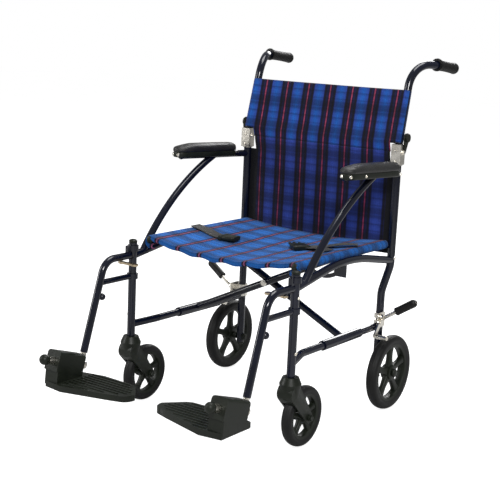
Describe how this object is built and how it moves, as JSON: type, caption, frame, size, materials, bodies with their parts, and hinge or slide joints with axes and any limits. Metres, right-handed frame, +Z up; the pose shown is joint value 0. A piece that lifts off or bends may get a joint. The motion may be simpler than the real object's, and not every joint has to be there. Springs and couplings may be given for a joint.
{
  "type": "folding transport wheelchair",
  "caption": "Folding attendant-pushed transport wheelchair: cross-brace frame, sling seat and back, fold-down back, swing-away footrests, casters and wheel brakes.",
  "frame": {"origin": "middle of the chair's box on the floor", "axes": "+X to the sitter's left, +Y to the rear, towards the push handles, +Z up"},
  "size_m": [0.6956, 1.0378, 0.9379],
  "materials": {
    "frame_paint": "gloss",
    "zinc": "bright zinc",
    "black_plastic": "fine grain",
    "grip_rubber": "satin",
    "arm_vinyl": "grained",
    "tyre": "matte",
    "latch_metal": "yellow zinc",
    "plaid_fabric": "woven plaid",
    "webbing": "woven webbing"
  },
  "bodies": {
    "left_frame": {"left_front_post": "frame_paint", "left_rear_post": "frame_paint", "left_arch_tube": "frame_paint", "left_lower_rail": "frame_paint", "left_arm_tube": "frame_paint", "left_arm_pad": "arm_vinyl", "left_brake_bracket": "zinc", "left_rear_axle": "zinc", "left_hinge_bracket": "zinc", "back_lower_panel": "plaid_fabric"},
    "cross_a": {"cross_member_a": "frame_paint", "seat_rail_right": "frame_paint", "cross_bolt": "zinc", "seat_sling": "plaid_fabric", "belt_right": "webbing"},
    "cross_b": {"cross_member_b": "frame_paint", "seat_rail_left": "frame_paint", "belt_left": "webbing"},
    "right_frame": {"right_front_post": "frame_paint", "right_rear_post": "frame_paint", "right_arch_tube": "frame_paint", "right_lower_rail": "frame_paint", "right_arm_tube": "frame_paint", "right_arm_pad": "arm_vinyl", "right_brake_bracket": "zinc", "right_rear_axle": "zinc", "right_hinge_bracket": "zinc"},
    "left_back": {"left_back_cane": "frame_paint", "left_push_grip": "grip_rubber", "back_upper_panel": "plaid_fabric"},
    "left_release": {"left_release_lever": "black_plastic"},
    "left_rear_wheel": {"left_rear_hub": "black_plastic", "left_rear_tyre": "tyre"},
    "left_caster_fork": {"left_caster_fork": "black_plastic", "left_caster_axle": "zinc"},
    "left_caster_wheel": {"left_caster_hub": "black_plastic", "left_caster_tyre": "tyre"},
    "left_footrest": {"left_hanger": "frame_paint"},
    "left_latch_lever": {"left_latch_lever": "latch_metal"},
    "left_leg_extension": {"left_extension": "zinc"},
    "left_footplate": {"left_footplate": "black_plastic"},
    "left_brake_lever": {"left_brake_lever": "zinc"},
    "left_brake_shoe": {"left_brake_shoe": "zinc"},
    "left_stay_link": {"left_stay_link": "frame_paint"},
    "right_back": {"right_back_cane": "frame_paint", "right_push_grip": "grip_rubber"},
    "right_release": {"right_release_lever": "black_plastic"},
    "right_rear_wheel": {"right_rear_hub": "black_plastic", "right_rear_tyre": "tyre"},
    "right_caster_fork": {"right_caster_fork": "black_plastic", "right_caster_axle": "zinc"},
    "right_caster_wheel": {"right_caster_hub": "black_plastic", "right_caster_tyre": "tyre"},
    "right_footrest": {"right_hanger": "frame_paint"},
    "right_latch_lever": {"right_latch_lever": "latch_metal"},
    "right_leg_extension": {"right_extension": "zinc"},
    "right_footplate": {"right_footplate": "black_plastic"},
    "right_brake_lever": {"right_brake_lever": "zinc"},
    "right_brake_shoe": {"right_brake_shoe": "zinc"},
    "right_stay_link": {"right_stay_link": "frame_paint"}
  },
  "joints": [
    {"name": "fold", "type": "hinge", "parent": "left_frame", "child": "cross_a", "pos_m": [0.234, 0.05979, 0.226], "axis": [0, 1, 0], "range_deg": [0, 45], "deforming": ["seat_sling", "belt_left", "belt_right", "back_upper_panel", "back_lower_panel"]},
    {"name": "brace_pivot", "type": "hinge", "parent": "cross_a", "child": "cross_b", "pos_m": [0, 0.05979, 0.33743], "axis": [0, 1, 0], "range_deg": [-90, 0]},
    {"name": "right_rail_pivot", "type": "hinge", "parent": "cross_b", "child": "right_frame", "pos_m": [-0.234, 0.05979, 0.226], "axis": [0, 1, 0], "range_deg": [0, 45]},
    {"name": "left_back_fold", "type": "hinge", "parent": "left_frame", "child": "left_back", "pos_m": [0.245, 0.27579, 0.694], "axis": [-1, 0, 0], "range_deg": [0, 105]},
    {"name": "left_back_release", "type": "hinge", "parent": "left_back", "child": "left_release", "pos_m": [0.261, 0.28179, 0.732], "axis": [1, 0, 0], "range_deg": [0, 18], "stiffness_Nm_per_rad": 1, "springref_deg": -14.32},
    {"name": "left_rear_wheel_spin", "type": "hinge", "parent": "left_frame", "child": "left_rear_wheel", "pos_m": [0.27, 0.25979, 0.1015], "axis": [1, 0, 0], "continuous": true},
    {"name": "left_caster_swivel", "type": "hinge", "parent": "left_frame", "child": "left_caster_fork", "pos_m": [0.255, -0.19621, 0.15], "axis": [0, 0, 1], "continuous": true},
    {"name": "left_caster_spin", "type": "hinge", "parent": "left_caster_fork", "child": "left_caster_wheel", "pos_m": [0.255, -0.13821, 0.076], "axis": [1, 0, 0], "continuous": true},
    {"name": "left_footrest_swing", "type": "hinge", "parent": "left_frame", "child": "left_footrest", "pos_m": [0.255, -0.19621, 0.35], "axis": [0, 0, 1], "range_deg": [0, 90]},
    {"name": "left_latch", "type": "hinge", "parent": "left_footrest", "child": "left_latch_lever", "pos_m": [0.255, -0.24021, 0.3915], "axis": [0, 0, 1], "range_deg": [0, 35], "stiffness_Nm_per_rad": 0.5, "springref_deg": -11.46},
    {"name": "left_footrest_length", "type": "slide", "parent": "left_footrest", "child": "left_leg_extension", "axis": [0, -0.299, -0.9542], "range_m": [0, 0.08]},
    {"name": "left_footplate_flip", "type": "hinge", "parent": "left_leg_extension", "child": "left_footplate", "pos_m": [0.255, -0.38144, 0.15], "axis": [0, 0.9542, -0.299], "range_deg": [0, 90]},
    {"name": "left_brake", "type": "hinge", "parent": "left_frame", "child": "left_brake_lever", "pos_m": [0.2495, 0.23779, 0.254], "axis": [1, 0, 0], "range_deg": [0, 60]},
    {"name": "left_brake_shoe", "type": "hinge", "parent": "left_frame", "child": "left_brake_shoe", "pos_m": [0.25, 0.23079, 0.24], "axis": [1, 0, 0], "range_deg": [0, 21]},
    {"name": "left_stay_swing", "type": "hinge", "parent": "left_frame", "child": "left_stay_link", "pos_m": [0.226, 0.03979, 0.402], "axis": [0, 1, 0], "range_deg": [0, 72]},
    {"name": "right_back_fold", "type": "hinge", "parent": "right_frame", "child": "right_back", "pos_m": [-0.245, 0.27579, 0.694], "axis": [-1, 0, 0], "range_deg": [0, 105]},
    {"name": "right_back_release", "type": "hinge", "parent": "right_back", "child": "right_release", "pos_m": [-0.261, 0.28179, 0.732], "axis": [1, 0, 0], "range_deg": [0, 18], "stiffness_Nm_per_rad": 1, "springref_deg": -14.32},
    {"name": "right_rear_wheel_spin", "type": "hinge", "parent": "right_frame", "child": "right_rear_wheel", "pos_m": [-0.27, 0.25979, 0.1015], "axis": [1, 0, 0], "continuous": true},
    {"name": "right_caster_swivel", "type": "hinge", "parent": "right_frame", "child": "right_caster_fork", "pos_m": [-0.255, -0.19621, 0.15], "axis": [0, 0, 1], "continuous": true},
    {"name": "right_caster_spin", "type": "hinge", "parent": "right_caster_fork", "child": "right_caster_wheel", "pos_m": [-0.255, -0.13821, 0.076], "axis": [1, 0, 0], "continuous": true},
    {"name": "right_footrest_swing", "type": "hinge", "parent": "right_frame", "child": "right_footrest", "pos_m": [-0.255, -0.19621, 0.35], "axis": [0, 0, -1], "range_deg": [0, 90]},
    {"name": "right_latch", "type": "hinge", "parent": "right_footrest", "child": "right_latch_lever", "pos_m": [-0.255, -0.24021, 0.3915], "axis": [0, 0, -1], "range_deg": [0, 35], "stiffness_Nm_per_rad": 0.5, "springref_deg": -11.46},
    {"name": "right_footrest_length", "type": "slide", "parent": "right_footrest", "child": "right_leg_extension", "axis": [0, -0.299, -0.9542], "range_m": [0, 0.08]},
    {"name": "right_footplate_flip", "type": "hinge", "parent": "right_leg_extension", "child": "right_footplate", "pos_m": [-0.255, -0.38144, 0.15], "axis": [0, -0.9542, 0.299], "range_deg": [0, 90]},
    {"name": "right_brake", "type": "hinge", "parent": "right_frame", "child": "right_brake_lever", "pos_m": [-0.2495, 0.23779, 0.254], "axis": [1, 0, 0], "range_deg": [0, 60]},
    {"name": "right_brake_shoe", "type": "hinge", "parent": "right_frame", "child": "right_brake_shoe", "pos_m": [-0.25, 0.23079, 0.24], "axis": [1, 0, 0], "range_deg": [0, 21]},
    {"name": "right_stay_swing", "type": "hinge", "parent": "right_frame", "child": "right_stay_link", "pos_m": [-0.226, 0.03979, 0.402], "axis": [0, -1, 0], "range_deg": [0, 72]}
  ],
  "couplings": [
    {"joint": "brace_pivot", "follows": "fold", "ratio": -2},
    {"joint": "right_rail_pivot", "follows": "fold", "ratio": 1},
    {"joint": "left_footplate_flip", "follows": "fold", "ratio": 2},
    {"joint": "left_brake_shoe", "follows": "left_brake", "ratio": 0.35},
    {"joint": "left_stay_swing", "follows": "fold", "ratio": 1.6},
    {"joint": "right_footplate_flip", "follows": "fold", "ratio": 2},
    {"joint": "right_brake_shoe", "follows": "right_brake", "ratio": 0.35},
    {"joint": "right_stay_swing", "follows": "fold", "ratio": 1.6},
    {"joint": "right_back_fold", "follows": "left_back_fold", "ratio": 1}
  ]
}
